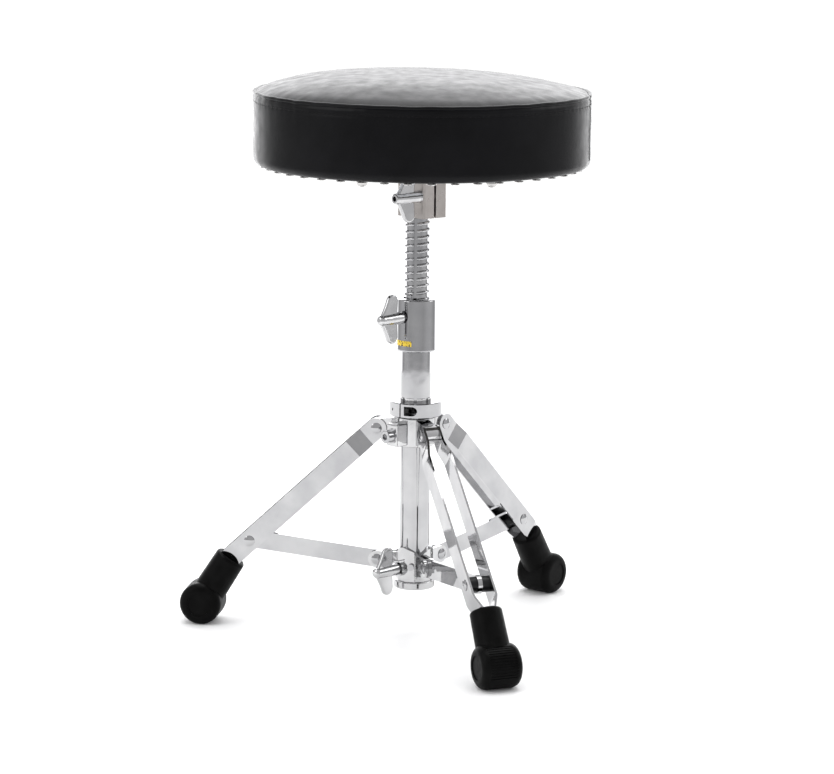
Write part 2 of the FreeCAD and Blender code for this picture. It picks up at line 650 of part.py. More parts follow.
def clamp_ring():
    """The split ring that squeezes the hub's collet, with a pocket for its screw."""
    ring = rod(RING_RADIUS, Vector(0, 0, RING_BOTTOM), UP, RING_HEIGHT)
    ring = ring.makeChamfer(RING_EDGE, [e for e in ring.Edges if e.Length > 100])
    ring = ring.cut(rod(collet_radius(), Vector(0, 0, RING_BOTTOM - 1), UP, RING_HEIGHT + 2))
    split = block((0, RING_RADIUS + 1), (-RING_SPLIT / 2, RING_SPLIT / 2), (RING_BOTTOM - 1, RING_BOTTOM + 20))
    ring = ring.cut(turned(split, RING_SPLIT_BEARING))
    ring = ring.cut(turned(ring_pocket(), RING_SPLIT_BEARING))
    return ring.cut(turned(ring_screw_shape(RUNNING_GAP), RING_SPLIT_BEARING))


def collet_radius():
    return TUBE_RADIUS + COLLET_WALL


def ring_screw_line():
    """The screw's line, tangential, midway through the ring's wall: (distance out, height)."""
    return (collet_radius() + RING_RADIUS) / 2 + 0.6, RING_BOTTOM + RING_HEIGHT / 2


def ring_pocket():
    """The D-shaped pocket milled in from outside: flat where the screw's head seats, round beyond."""
    reach, height = ring_screw_line()
    half = RING_POCKET_HEIGHT / 2
    start = RING_POCKET_START
    straight = block(
        (reach - RING_SCREW_HEAD_RADIUS - 0.3, RING_RADIUS + 10),
        (start - RING_POCKET_LENGTH, start - half),
        (height - half, height + half),
    )
    low = Vector(reach - RING_SCREW_HEAD_RADIUS - 0.3, start - half, height)
    return straight.fuse(rod(half, low, OUT, 30))


def ring_screw_shape(gap):
    """The socket screw across the split, grown by gap."""
    reach, height = ring_screw_line()
    seat = Vector(reach, RING_POCKET_START - RING_POCKET_LENGTH, height)
    shank = rod(RING_SCREW_RADIUS + gap, seat, -ACROSS, RING_SCREW_LENGTH)
    head = rod(RING_SCREW_HEAD_RADIUS + gap, seat, ACROSS, RING_SCREW_HEAD)
    return shank.fuse(head)


def ring_screw():
    reach, height = ring_screw_line()
    end = Vector(reach, RING_POCKET_START - RING_POCKET_LENGTH + RING_SCREW_HEAD + 1, height)
    screw = ring_screw_shape(0).cut(hexagon(RING_SCREW_RADIUS * 1.6, end, -ACROSS, 4))
    return turned(screw, RING_SPLIT_BEARING)


def lug_outline(tip_radius, pivot, root, low, high):
    """A lug's side: round about the pivot, widening back to an upright root."""
    def tangent(corner, side):
        arm = corner - pivot
        reach = math.hypot(arm.x, arm.z)
        angle = math.atan2(arm.z, arm.x) + side * math.acos(tip_radius / reach)
        return pivot + Vector(tip_radius * math.cos(angle), 0, tip_radius * math.sin(angle))

    bottom = Vector(root, 0, low)
    top = Vector(root, 0, high)
    start = tangent(bottom, 1)
    end = tangent(top, -1)
    return Part.Wire([
        line(top, bottom),
        line(bottom, start),
        arc(start, pivot + OUT * tip_radius, end),
        line(end, top),
    ])


def plate_from(wire, low, high):
    """A flat plate between y = low and y = high."""
    plate = Part.Face(wire).extrude(ACROSS * (high - low))
    plate.translate(ACROSS * low)
    return plate


def upper_hub():
    """The casting that carries the legs: a body with a slotted collet, three lugs and a clamp boss."""
    body = rod(HUB_RADIUS, Vector(0, 0, HUB_BOTTOM), UP, HUB_TOP - HUB_BOTTOM)
    body = body.makeFillet(1.2, [e for e in body.Edges if e.Length > 100])
    collet_top = RING_BOTTOM + RING_HEIGHT + COLLET_RISE
    collet = rod(collet_radius(), Vector(0, 0, HUB_TOP - 1), UP, collet_top - HUB_TOP + 1)
    half = STRAP_GAP_AT_HUB / 2 - SIDE_GAP
    lug = plate_from(lug_outline(LUG_END_RADIUS, HUB_PIVOT, 10, HUB_BOTTOM, HUB_TOP), -half, half)
    hole = rod(RIVET_RADIUS + RUNNING_GAP, HUB_PIVOT - ACROSS * 20, ACROSS, 40)
    lug = lug.cut(hole)
    width = HUB_BOSS_WIDTH / 2
    boss = block((10, HUB_BOSS_REACH), (-width, width), (HUB_BOSS_BOTTOM, HUB_BOSS_TOP))
    boss = boss.makeFillet(1.5, [e for e in boss.Edges if e.CenterOfMass.x > 12])
    shapes = [collet, turned(boss, BOLT_BEARING)]
    shapes += [turned(lug, bearing) for bearing in LEG_BEARINGS.values()]
    hub = body.fuse(shapes).removeSplitter()
    hub = hub.cut(rod(TUBE_RADIUS, Vector(0, 0, HUB_BOTTOM - 1), UP, 100))
    for i in range(COLLET_SLOTS):
        slot = block((0, 40), (-COLLET_SLOT / 2, COLLET_SLOT / 2), (HUB_TOP + 1, collet_top + 1))
        hub = hub.cut(turned(slot, FRONT_LEG_BEARING + 180 + 360 * (i + 0.5) / COLLET_SLOTS))
    screw_hole = rod(CAP_SCREW_RADIUS, Vector(0, 0, HUB_SCREW_HEIGHT), OUT, 60)
    return hub.cut(turned(screw_hole, BOLT_BEARING))


def hub_clamp_screw():
    """The socket screw that fixes the hub on the tube."""
    base = Vector(HUB_BOSS_REACH + WASHER_THICKNESS, 0, HUB_SCREW_HEIGHT)
    head = rod(CAP_HEAD_RADIUS, base, OUT, CAP_HEAD)
    head = head.makeFillet(0.8, [e for e in head.Edges if e.CenterOfMass.x > base.x + 1 and e.Length > 30])
    shank = rod(CAP_SCREW_RADIUS, base, -OUT, base.x - TUBE_RADIUS)
    socket = hexagon(2 * CAP_SOCKET, base + OUT * (CAP_HEAD + 1), -OUT, 5)
    return turned(head.fuse(shank).cut(socket), BOLT_BEARING)


def hub_clamp_washer():
    start = Vector(HUB_BOSS_REACH, 0, HUB_SCREW_HEIGHT)
    ring = rod(WASHER_RADIUS, start, OUT, WASHER_THICKNESS)
    return turned(ring.cut(rod(CAP_SCREW_RADIUS, start - OUT, OUT, 10)), BOLT_BEARING)


# ---- Legs ---------------------------------------------------------------------------------------
def strap_profile():
    """Half the gap between the straps, at distances along the leg from the upper rivet."""
    lower = [LEG_RIVET_SPACING + d for d in LOWER_JOGGLE]
    return [
        (-STRAP_WIDTH, STRAP_GAP_AT_HUB / 2),
        (UPPER_JOGGLE[0], STRAP_GAP_AT_HUB / 2),
        (UPPER_JOGGLE[1], STRAP_GAP / 2),
        (lower[0], STRAP_GAP / 2),
        (lower[1], STRAP_GAP_AT_FOOT / 2),
        (LEG_RIVET_SPACING + STRAP_END + 1, STRAP_GAP_AT_FOOT / 2),
    ]


def nearest(value, others):
    """How far value is from the closest of others."""
    return min(abs(value - other) for other in others)


def along_leg(shape):
    """Turns a shape drawn with the leg along +X to the leg's slope, with +X at the upper rivet."""
    copy = shape.copy()
    copy.rotate(Vector(), ACROSS, 90 - LEG_ANGLE)
    return copy.translated(HUB_PIVOT)


def strap(side, gap=0.0):
    """One joggled strap of a leg, on the side +1 or -1, grown by gap."""
    inner = [Vector(x, side * (y - gap), 0) for x, y in strap_profile()]
    outer = [Vector(x, side * (y + STRAP_THICKNESS + gap), 0) for x, y in strap_profile()]
    half = STRAP_WIDTH / 2 + gap
    band = polygon_prism(inner + outer[::-1], UP * (2 * half)).translated(-UP * half)
    corners = [x for x, _ in strap_profile()[1:-1]]
    bends = [e for e in band.Edges if is_upright(e) and nearest(e.CenterOfMass.x, corners) < 0.1]
    band = band.makeFillet(STRAP_BEND_RADIUS, bends)
    end = LEG_RIVET_SPACING + STRAP_END
    outline = Part.Wire([
        line(Vector(0, -50, half), Vector(end - half, -50, half)),
        arc(Vector(end - half, -50, half), Vector(end, -50, 0), Vector(end - half, -50, -half)),
        line(Vector(end - half, -50, -half), Vector(0, -50, -half)),
        arc(Vector(0, -50, -half), Vector(-half, -50, 0), Vector(0, -50, half)),
    ])
    return band.common(Part.Face(outline).extrude(ACROSS * 100))


def leg_strap(side):
    body = strap(side)
    for x in (0, LEG_RIVET_SPACING):
        body = body.cut(rod(RIVET_RADIUS, Vector(x, -30, 0), ACROSS, 60))
    return along_leg(body)


def rivet(half_length):
    """A through rivet on the Y axis, domed at both ends. half_length is to the under-head faces."""
    shank = rod(RIVET_RADIUS, ACROSS * -half_length, ACROSS, 2 * half_length)
    heads = [
        round_head(RIVET_HEAD_RADIUS, RIVET_HEAD, ACROSS * half_length, ACROSS),
        round_head(RIVET_HEAD_RADIUS, RIVET_HEAD, ACROSS * -half_length, -ACROSS),
    ]
    return shank.fuse(heads)


def hub_rivet():
    half = STRAP_GAP_AT_HUB / 2 + STRAP_THICKNESS
    return rivet(half).translated(HUB_PIVOT)


def brace_rivet():
    """The rivet that ties brace and leg: its two ends, up to the brace's faces."""
    half = STRAP_GAP / 2 + STRAP_THICKNESS
    free = EAR_GAP / 2
    whole = rivet(half).translated(BRACE_PIVOT)
    middle = rod(RIVET_RADIUS + 1, BRACE_PIVOT - ACROSS * free, ACROSS, 2 * free)
    return whole.cut(middle).Solids


def brace_spacers():
    """Plastic spacers between the straps and the brace."""
    low = EAR_GAP / 2
    length = STRAP_GAP / 2 - low
    spacers = []
    for side in (1, -1):
        start = BRACE_PIVOT + ACROSS * (side * low)
        ring = rod(SPACER_RADIUS, start, ACROSS * side, length)
        spacers.append(ring.cut(rod(RIVET_RADIUS, BRACE_PIVOT - ACROSS * 30, ACROSS, 60)))
    return spacers


# ---- Braces and collar --------------------------------------------------------------------------
def brace():
    """The flat strap from the collar to the leg, round at both ends."""
    half = BRACE_WIDTH / 2
    run = BRACE_PIVOT - COLLAR_PIVOT
    along = Vector(run.x, 0, run.z).normalize()
    over = Vector(-along.z, 0, along.x)
    low = ACROSS * (-BRACE_THICKNESS / 2)
    a, b = COLLAR_PIVOT + low, BRACE_PIVOT + low
    outline = Part.Wire([
        line(a + over * half, b + over * half),
        arc(b + over * half, b + along * half, b - over * half),
        line(b - over * half, a - over * half),
        arc(a - over * half, a - along * half, a + over * half),
    ])
    body = Part.Face(outline).extrude(ACROSS * BRACE_THICKNESS)
    body = body.cut(rod(RIVET_RADIUS + RUNNING_GAP, COLLAR_PIVOT - ACROSS * 20, ACROSS, 40))
    return body.cut(rod(RIVET_RADIUS, BRACE_PIVOT - ACROSS * 20, ACROSS, 40))


def brace_bush():
    """The middle of the brace's outer pivot, flush with the brace's faces."""
    half = BRACE_THICKNESS / 2
    return rod(RIVET_RADIUS, BRACE_PIVOT - ACROSS * half, ACROSS, BRACE_THICKNESS)


def collar_rivet():
    half = EAR_GAP / 2 + EAR_THICKNESS
    return rivet(half).translated(COLLAR_PIVOT)


def collar_ears():
    """The two ears of one clevis."""
    low = EAR_GAP / 2
    high = low + EAR_THICKNESS
    outline = lug_outline(EAR_RADIUS, COLLAR_PIVOT, 12, COLLAR_BOTTOM + 12, COLLAR_SHOULDER)
    ears = [plate_from(outline, low, high), plate_from(outline, -high, -low)]
    hole = rod(RIVET_RADIUS, COLLAR_PIVOT - ACROSS * 20, ACROSS, 40)
    return [ear.cut(hole) for ear in ears]


def brace_swing():
    """Clears the collar's body where the brace's round end turns."""
    low = EAR_GAP / 2
    reach = BRACE_WIDTH / 2 + PART_GAP
    return rod(reach, COLLAR_PIVOT - ACROSS * low, ACROSS, 2 * low)


def lower_collar():
    """The sliding casting: flange, faceted body with a pointed rim, three clevises, a bolt boss."""
    body = polygon_prism(facet_points(), UP * (COLLAR_TOP - COLLAR_BOTTOM))
    body = body.cut(rim_cut())
    flange = rod(COLLAR_FLANGE_RADIUS, Vector(0, 0, COLLAR_BOTTOM), UP, COLLAR_FLANGE_HEIGHT)
    flange = flange.makeFillet(1.5, [e for e in flange.Edges if e.Length > 100])
    height = Vector(0, 0, COLLAR_BOLT_HEIGHT)
    boss = rod(COLLAR_BOSS_RADIUS, height, OUT, COLLAR_BOSS_REACH)
    shapes = [flange, turned(boss, BOLT_BEARING)]
    for bearing in LEG_BEARINGS.values():
        shapes += [turned(ear, bearing) for ear in collar_ears()]
    collar = body.fuse(shapes).removeSplitter()
    collar = collar.cut(rod(TUBE_RADIUS + RUNNING_GAP, Vector(0, 0, COLLAR_BOTTOM - 1), UP, 100))
    for bearing in LEG_BEARINGS.values():
        collar = collar.cut(turned(brace_swing(), bearing))
    hole = rod(WING_SHANK_RADIUS + RUNNING_GAP, height, OUT, 60)
    collar = collar.cut(turned(hole, BOLT_BEARING))
    for screw in collar_screws():
        collar = collar.cut(screw)
    return collar


def facet_points():
    """The twelve corners of the collar's faceted body."""
    points = []
    for i in range(12):
        angle = math.radians(BOLT_BEARING + 15 + 30 * i)
        corner = Vector(COLLAR_RADIUS * math.cos(angle), COLLAR_RADIUS * math.sin(angle), COLLAR_BOTTOM)
        points.append(corner)
    return points


def rim_cut():
    """Slopes the collar's rim down from a point between each pair of clevises."""
    cuts = []
    for bearing in LEG_BEARINGS.values():
        peak = COLLAR_TOP - COLLAR_SHOULDER
        outline = [
            Vector(0, 0, COLLAR_SHOULDER),
            Vector(0, COLLAR_RADIUS, COLLAR_TOP + 1),
            Vector(0, COLLAR_RADIUS, COLLAR_TOP + peak),
            Vector(0, -COLLAR_RADIUS, COLLAR_TOP + peak),
            Vector(0, -COLLAR_RADIUS, COLLAR_TOP + 1),
        ]
        cuts.append(turned(polygon_prism(outline, OUT * 30), bearing))
    return Part.makeCompound(cuts)


def collar_screws():
    """Small set screws in the collar's wall."""
    screws = []
    for bearing in COLLAR_SCREW_BEARINGS:
        start = Vector(TUBE_RADIUS + RUNNING_GAP + 0.4, 0, COLLAR_SCREW_HEIGHT)
        length = COLLAR_RADIUS + COLLAR_SCREW_PROUD - start.x
        screw = rod(COLLAR_SCREW_RADIUS, start, OUT, length)
        screws.append(turned(screw, bearing))
    return screws


# ---- Feet ---------------------------------------------------------------------------------------
def foot():
    """A rubber foot: a barrel across the leg, and a sleeve that takes the ends of the straps."""
    across = ACROSS * FOOT_BARREL_LENGTH
    start = FOOT_CENTRE - across / 2
    barrel = Part.makeCylinder(FOOT_BARREL_RADIUS, FOOT_BARREL_LENGTH, start, ACROSS)
    barrel = barrel.makeFillet(FOOT_BARREL_EDGE, [e for e in barrel.Edges if e.Length > 100])
    slope = math.radians(FOOT_SLEEVE_SLOPE)
    axis = Vector(-math.cos(slope), 0, math.sin(slope))
    sleeve = Part.makeCone(
        FOOT_SLEEVE_LOW_RADIUS, FOOT_SLEEVE_TOP_RADIUS, FOOT_SLEEVE_LENGTH, FOOT_CENTRE, axis
    )
    mouth = FOOT_CENTRE + axis * FOOT_SLEEVE_LENGTH
    rim = [e for e in sleeve.Edges if e.Length > 50 and (e.CenterOfMass - mouth).Length < 1]
    sleeve = sleeve.makeFillet(FOOT_MOUTH_EDGE, rim)
    body = barrel.fuse(sleeve)
    for side in (1, -1):
        face = FOOT_CENTRE + ACROSS * (side * (FOOT_BARREL_LENGTH / 2 - FOOT_DISC_DEPTH))
        body = body.cut(rod(FOOT_DISC_RADIUS, face, ACROSS * side, 5))
        body = body.cut(along_leg(strap(side, FOOT_POCKET_GAP)))
    for i in range(FOOT_TREAD_COUNT):
        body = body.cut(tread_groove(FOOT_TREAD_START + i * FOOT_TREAD_STEP))
    floor = block((0, 2 * FOOT_RADIUS), (-100, 100), (-50, 0))
    return body.cut(floor)


def tread_groove(angle):
    """One groove along the outer side of the barrel, angle degrees above the level."""
    deep = FOOT_BARREL_RADIUS - FOOT_TREAD_DEPTH
    half = FOOT_TREAD_WIDTH / 2
    length = FOOT_BARREL_LENGTH / 2 - FOOT_BARREL_EDGE + 1
    groove = block((deep, deep + 10), (-length, length), (-half, half))
    groove.rotate(Vector(), ACROSS, -angle)
    return groove.translated(FOOT_CENTRE)


# ---- Assembly -----------------------------------------------------------------------------------
def save_seat():
    save("seat_top_panel", seat_top_panel())
    save("seat_piping", seat_piping())
    save("seat_side_band", seat_side_band())
    save("seat_foam", seat_foam())
    save("seat_board", seat_board())
    save("cover_tacks", *cover_tacks())
    save("board_screws", *board_screws())
    save("seat_plate", seat_plate())
    save("plate_bolts", *plate_bolts())
    save("plate_nuts", *plate_nuts())
    save("seat_clamp_block", seat_clamp_block())
    save("seat_clamp_washer", seat_clamp_washer())
    start = Vector(BLOCK_FRONT + CLAMP_WASHER_THICKNESS + SIDE_GAP, BLOCK_BOLT_OFFSET, BLOCK_BOLT_HEIGHT)
    shank = start.x + BLOCK_BACK - 6
    save("seat_wing_bolt", wing_bolt(shank, start, SEAT_BOLT_BEARING, hollow=True))


def save_post():
    save("spindle", spindle())
    save("spindle_guide", spindle_guide())
    save("spindle_guide_screw", guide_screw())
    save("threaded_sleeve", threaded_sleeve())
    save("sleeve_label", sleeve_label())
    start = Vector(SLEEVE_RADIUS + 3.0, 0, SLEEVE_BOLT_HEIGHT)
    shank = start.x - BORE_FOR_SPINDLE
    save("sleeve_wing_bolt", wing_bolt(shank, start, BOLT_BEARING))
    save("main_tube", main_tube())
    save("tube_end_plug", tube_end_plug())
    save("clamp_ring", clamp_ring())
    save("clamp_ring_screw", ring_screw())
    save("upper_hub", upper_hub())
    save("hub_clamp_screw", hub_clamp_screw())
    save("hub_clamp_washer", hub_clamp_washer())


def save_collar():
    save("lower_collar", lower_collar())
    save("collar_set_screws", *collar_screws())
    start = Vector(COLLAR_BOSS_REACH + 2.0, 0, COLLAR_BOLT_HEIGHT)
    shank = start.x - TUBE_RADIUS - PART_GAP
    save("collar_wing_bolt", wing_bolt(shank, start, BOLT_BEARING))


def save_legs():
    for name, bearing in LEG_BEARINGS.items():
        save(f"{name}_leg_strap_a", turned(leg_strap(1), bearing))
        save(f"{name}_leg_strap_b", turned(leg_strap(-1), bearing))
        save(f"{name}_hub_rivet", turned(hub_rivet(), bearing))
        save(f"{name}_brace_rivet", *[turned(half, bearing) for half in brace_rivet()])
        save(f"{name}_brace_spacers", *[turned(spacer, bearing) for spacer in brace_spacers()])
        save(f"{name}_foot", turned(foot(), bearing))
        save(f"{name}_brace", turned(brace(), bearing))
        save(f"{name}_brace_bush", turned(brace_bush(), bearing))
        save(f"{name}_collar_rivet", turned(collar_rivet(), bearing))


os.makedirs("parts", exist_ok=True)
save_seat()
save_post()
save_collar()
save_legs()
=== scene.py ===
import json
import math
import random

import bpy
from mathutils import Matrix, Vector, noise
from mathutils.bvhtree import BVHTree


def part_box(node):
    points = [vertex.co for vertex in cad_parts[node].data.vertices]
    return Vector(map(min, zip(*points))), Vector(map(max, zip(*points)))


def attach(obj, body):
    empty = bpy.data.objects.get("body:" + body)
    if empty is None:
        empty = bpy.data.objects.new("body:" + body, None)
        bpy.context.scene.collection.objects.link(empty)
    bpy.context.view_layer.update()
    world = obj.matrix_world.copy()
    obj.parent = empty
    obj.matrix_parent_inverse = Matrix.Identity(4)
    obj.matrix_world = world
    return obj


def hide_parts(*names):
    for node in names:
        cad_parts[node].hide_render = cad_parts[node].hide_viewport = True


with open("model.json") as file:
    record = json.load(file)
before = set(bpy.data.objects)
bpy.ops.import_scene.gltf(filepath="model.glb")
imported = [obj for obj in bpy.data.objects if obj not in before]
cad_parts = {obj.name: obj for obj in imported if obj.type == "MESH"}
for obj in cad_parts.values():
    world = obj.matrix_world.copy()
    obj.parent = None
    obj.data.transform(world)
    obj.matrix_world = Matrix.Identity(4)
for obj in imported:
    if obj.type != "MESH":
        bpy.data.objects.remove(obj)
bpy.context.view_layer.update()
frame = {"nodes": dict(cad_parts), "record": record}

MM = 0.001

# ---- Cover --------------------------------------------------------------------------------------
COVER_SEGMENTS = 360          # columns of faces round the seat
COLUMN_BEARINGS = [2 * math.pi * j / COVER_SEGMENTS for j in range(COVER_SEGMENTS)]
WELT_RADIUS = 2.0 * MM
WELT_DROP = 3 * MM            # how far below the CAD piping the welt is set
CORNER_RADIUS = 9 * MM        # where the side turns under
HEM_WIDTH = 26 * MM
HEM_THICKNESS = 1.4 * MM
BOARD_HEIGHT = 12 * MM
CROWN_POWER = 4.6             # higher is flatter in the middle and steeper at the edge
CROWN_LEAN = 2.4 * MM         # the top leans by about 0.6 of this: up on the left, down on the right
CROWN_LOWERING = 2.8 * MM     # how far the middle is set below the simulated shape
VOXEL = 5 * MM
SIM_PRESSURE = 2.6
SIM_FRAMES = 20
SETTLE_ROUNDS = 14
SIM_CAP = 5 * MM              # how far the pressure may move the cover
SIM_SHRINK = 0.6 * MM           # the pad starts this much smaller and swells
PAD_COLUMNS = 120             # of the pad that is simulated
CROWN_ROWS = 46
CROWN_ROW_BIAS = 1.7          # above 1 the rows lie closer towards the edge
SIDE_ROWS = 44
CORNER_ROWS = 8
HEM_ROWS = 6
SURFACE_CLEARANCE = 0.3 * MM  # between the cover and the board that it wraps
STITCH_DROP = 8.3 * MM        # from the welt down to the row of stitches
STITCH_PITCH = 4.6 * MM
STITCH_LENGTH = 3.4 * MM
STITCH_RADIUS = 0.42 * MM
BAND_SEAM_BEARING = -12.0     # the side band's one upright seam
SEED = 11

# ---- Relief on the cover ------------------------------------------------------------------------
RIPPLE_HEIGHT = 0.14 * MM
RIPPLE_FREQUENCY = 22         # per metre
GATHER_HEIGHT = 0.5 * MM      # folds that start at the welt
GATHER_FREQUENCY = 16
PUCKER_HEIGHT = 0.35 * MM     # finer folds between them
PUCKER_FREQUENCY = 60
GATHER_REACH = 14 * MM
STITCH_DIP = 0.7 * MM
STITCH_DIP_WIDTH = 1.2 * MM
TUCK_HEIGHT = 0.35 * MM       # the swell between the welt and the stitches
TUCK_WIDTH = 2.0 * MM
SEAM_RIDGE_HEIGHT = 0.5 * MM
SEAM_RIDGE_OFFSET = 2.6 * MM
SEAM_RIDGE_WIDTH = 1.3 * MM
SEAM_DIP = 1.0 * MM
SEAM_DIP_WIDTH = 0.7 * MM
SHOULDER_HEIGHT = 0.6 * MM    # extra fullness of the top beside the welt
SHOULDER_OFFSET = 14 * MM
SHOULDER_WIDTH = 8 * MM
WELT_GROOVE_DEPTH = 0.9 * MM
WELT_GROOVE_WIDTH = 1.6 * MM

# ---- Camera and studio --------------------------------------------------------------------------
CAMERA_PLACE = (0.0, -3.0974, 0.8408)
CAMERA_PITCH = 10.69
CAMERA_ROLL = 0.565
CAMERA_LENS = 133.7
CAMERA_SHIFT = 0.0014
FLOOR_RADIUS = 1.5
FLOOR_SIDES = 120
# Each stop is a place from in front (0) to behind the object (1), and its grey
WORLD_STOPS = (
    (0.0, 0.66), (0.12, 0.60), (0.3, 0.76), (0.5, 0.80), (0.78, 0.5),
    (0.93, 3.0), (0.97, 4.6), (0.99, 4.0), (1.0, 1.6),
)


# ---- Node helpers -------------------------------------------------------------------------------
def new_material(name):
    """An empty node material. Returns it with its node tree and its shader."""
    made = bpy.data.materials.new(name)
    made.use_nodes = True
    tree = made.node_tree
    shader = tree.nodes["Principled BSDF"]
    return made, tree, shader


def place(tree, stretch=(1, 1, 1)):
    """The point on the object, in metres, stretched."""
    where = tree.nodes.new("ShaderNodeTexCoord")
    scale = tree.nodes.new("ShaderNodeMapping")
    scale.inputs["Scale"].default_value = stretch
    tree.links.new(where.outputs["Object"], scale.inputs["Vector"])
    return scale.outputs["Vector"]


def speckle(tree, size, detail=3.0, stretch=(1, 1, 1)):
    """Noise from 0 to 1 whose patches are about size metres across."""
    made = tree.nodes.new("ShaderNodeTexNoise")
    made.inputs["Scale"].default_value = 1 / size
    made.inputs["Detail"].default_value = detail
    tree.links.new(place(tree, stretch), made.inputs["Vector"])
    return made.outputs["Fac"]


def spread(tree, value, low, high, start=0.3, end=0.7):
    """Carries value from start..end over to low..high."""
    made = tree.nodes.new("ShaderNodeMapRange")
    made.inputs["From Min"].default_value = start
    made.inputs["From Max"].default_value = end
    made.inputs["To Min"].default_value = low
    made.inputs["To Max"].default_value = high
    tree.links.new(value, made.inputs["Value"])
    return made.outputs["Result"]


def two_tone(tree, value, first, second, start=0.35, end=0.65):
    """A colour between first and second, by value."""
    ramp = tree.nodes.new("ShaderNodeValToRGB")
    ramp.color_ramp.elements[0].position = start
    ramp.color_ramp.elements[0].color = (*first, 1)
    ramp.color_ramp.elements[1].position = end
    ramp.color_ramp.elements[1].color = (*second, 1)
    tree.links.new(value, ramp.inputs["Fac"])
    return ramp.outputs["Color"]


def bumps(tree, shader, *layers):
    """Stacks bumps on the shader. Each layer is a value and its depth in metres."""
    normal = None
    for value, depth in layers:
        made = tree.nodes.new("ShaderNodeBump")
        made.inputs["Strength"].default_value = 1.0
        made.inputs["Distance"].default_value = depth
        tree.links.new(value, made.inputs["Height"])
        if normal:
            tree.links.new(normal, made.inputs["Normal"])
        normal = made.outputs["Normal"]
    tree.links.new(normal, shader.inputs["Normal"])


# ---- Materials ----------------------------------------------------------------------------------
def metal(name, dark, light, smooth, rough, wave_size, wave_depth, stretch=(1, 1, 1)):
    """A bare or plated metal. Its colour and gloss drift a little, and its surface waves."""
    made, tree, shader = new_material(name)
    shader.inputs["Metallic"].default_value = 1.0
    drift = speckle(tree, 0.03, stretch=stretch)
    smear = speckle(tree, 0.006, 5.0, stretch)
    tree.links.new(two_tone(tree, drift, dark, light), shader.inputs["Base Color"])
    tree.links.new(spread(tree, smear, smooth, rough), shader.inputs["Roughness"])
    bumps(tree, shader, (speckle(tree, wave_size, 2.0, stretch), wave_depth))
    return made


def leatherette(name, dark, light):
    """Coated fabric: pebbled grain, fine pores and broad worn patches."""
    made, tree, shader = new_material(name)
    shader.inputs["Specular IOR Level"].default_value = 0.10
    shader.inputs["Coat Weight"].default_value = 0.05
    shader.inputs["Coat Roughness"].default_value = 0.28
    grain = tree.nodes.new("ShaderNodeTexVoronoi")
    grain.feature = "SMOOTH_F1"
    grain.inputs["Scale"].default_value = 1 / 0.0011
    tree.links.new(place(tree), grain.inputs["Vector"])
    wear = speckle(tree, 0.05, 4.0)
    rub = speckle(tree, 0.012, 4.0)
    tree.links.new(two_tone(tree, wear, dark, light), shader.inputs["Base Color"])
    tree.links.new(spread(tree, rub, 0.30, 0.42), shader.inputs["Roughness"])
    bumps(
        tree, shader,
        (speckle(tree, 0.035, 3.0), 0.00005),
        (grain.outputs["Distance"], 0.00007),
        (speckle(tree, 0.0005, 2.0), 0.00002),
    )
    return made


def moulded(name, dark, light, smooth, rough, grain_size, grain_depth, shine=0.45):
    """Rubber or plastic with a fine moulded texture."""
    made, tree, shader = new_material(name)
    shader.inputs["Specular IOR Level"].default_value = shine
    tone = speckle(tree, 0.012, 4.0)
    gloss = speckle(tree, 0.004, 3.0)
    tree.links.new(two_tone(tree, tone, dark, light), shader.inputs["Base Color"])
    tree.links.new(spread(tree, gloss, smooth, rough), shader.inputs["Roughness"])
    bumps(tree, shader, (speckle(tree, grain_size, 3.0), grain_depth))
    return made


def sticker(name):
    """A yellow sticker with a few dark dots, which say nothing."""
    made, tree, shader = new_material(name)
    dots = speckle(tree, 0.0022, 1.0)
    colour = two_tone(tree, dots, (0.85, 0.60, 0.04), (0.05, 0.04, 0.02), 0.60, 0.64)
    tree.links.new(colour, shader.inputs["Base Color"])
    tree.links.new(spread(tree, speckle(tree, 0.004), 0.25, 0.35), shader.inputs["Roughness"])
    bumps(tree, shader, (dots, 0.00001))
    return made


def plywood(name):
    """Black-stained birch: streaks along the grain, with finer pores."""
    made, tree, shader = new_material(name)
    streak = speckle(tree, 0.02, 5.0, (1, 9, 9))
    pore = speckle(tree, 0.002, 3.0, (1, 14, 14))
    colour = two_tone(tree, streak, (0.018, 0.017, 0.015), (0.040, 0.037, 0.033))
    tree.links.new(colour, shader.inputs["Base Color"])
    tree.links.new(spread(tree, pore, 0.55, 0.8), shader.inputs["Roughness"])
    bumps(tree, shader, (pore, 0.00012))
    return made


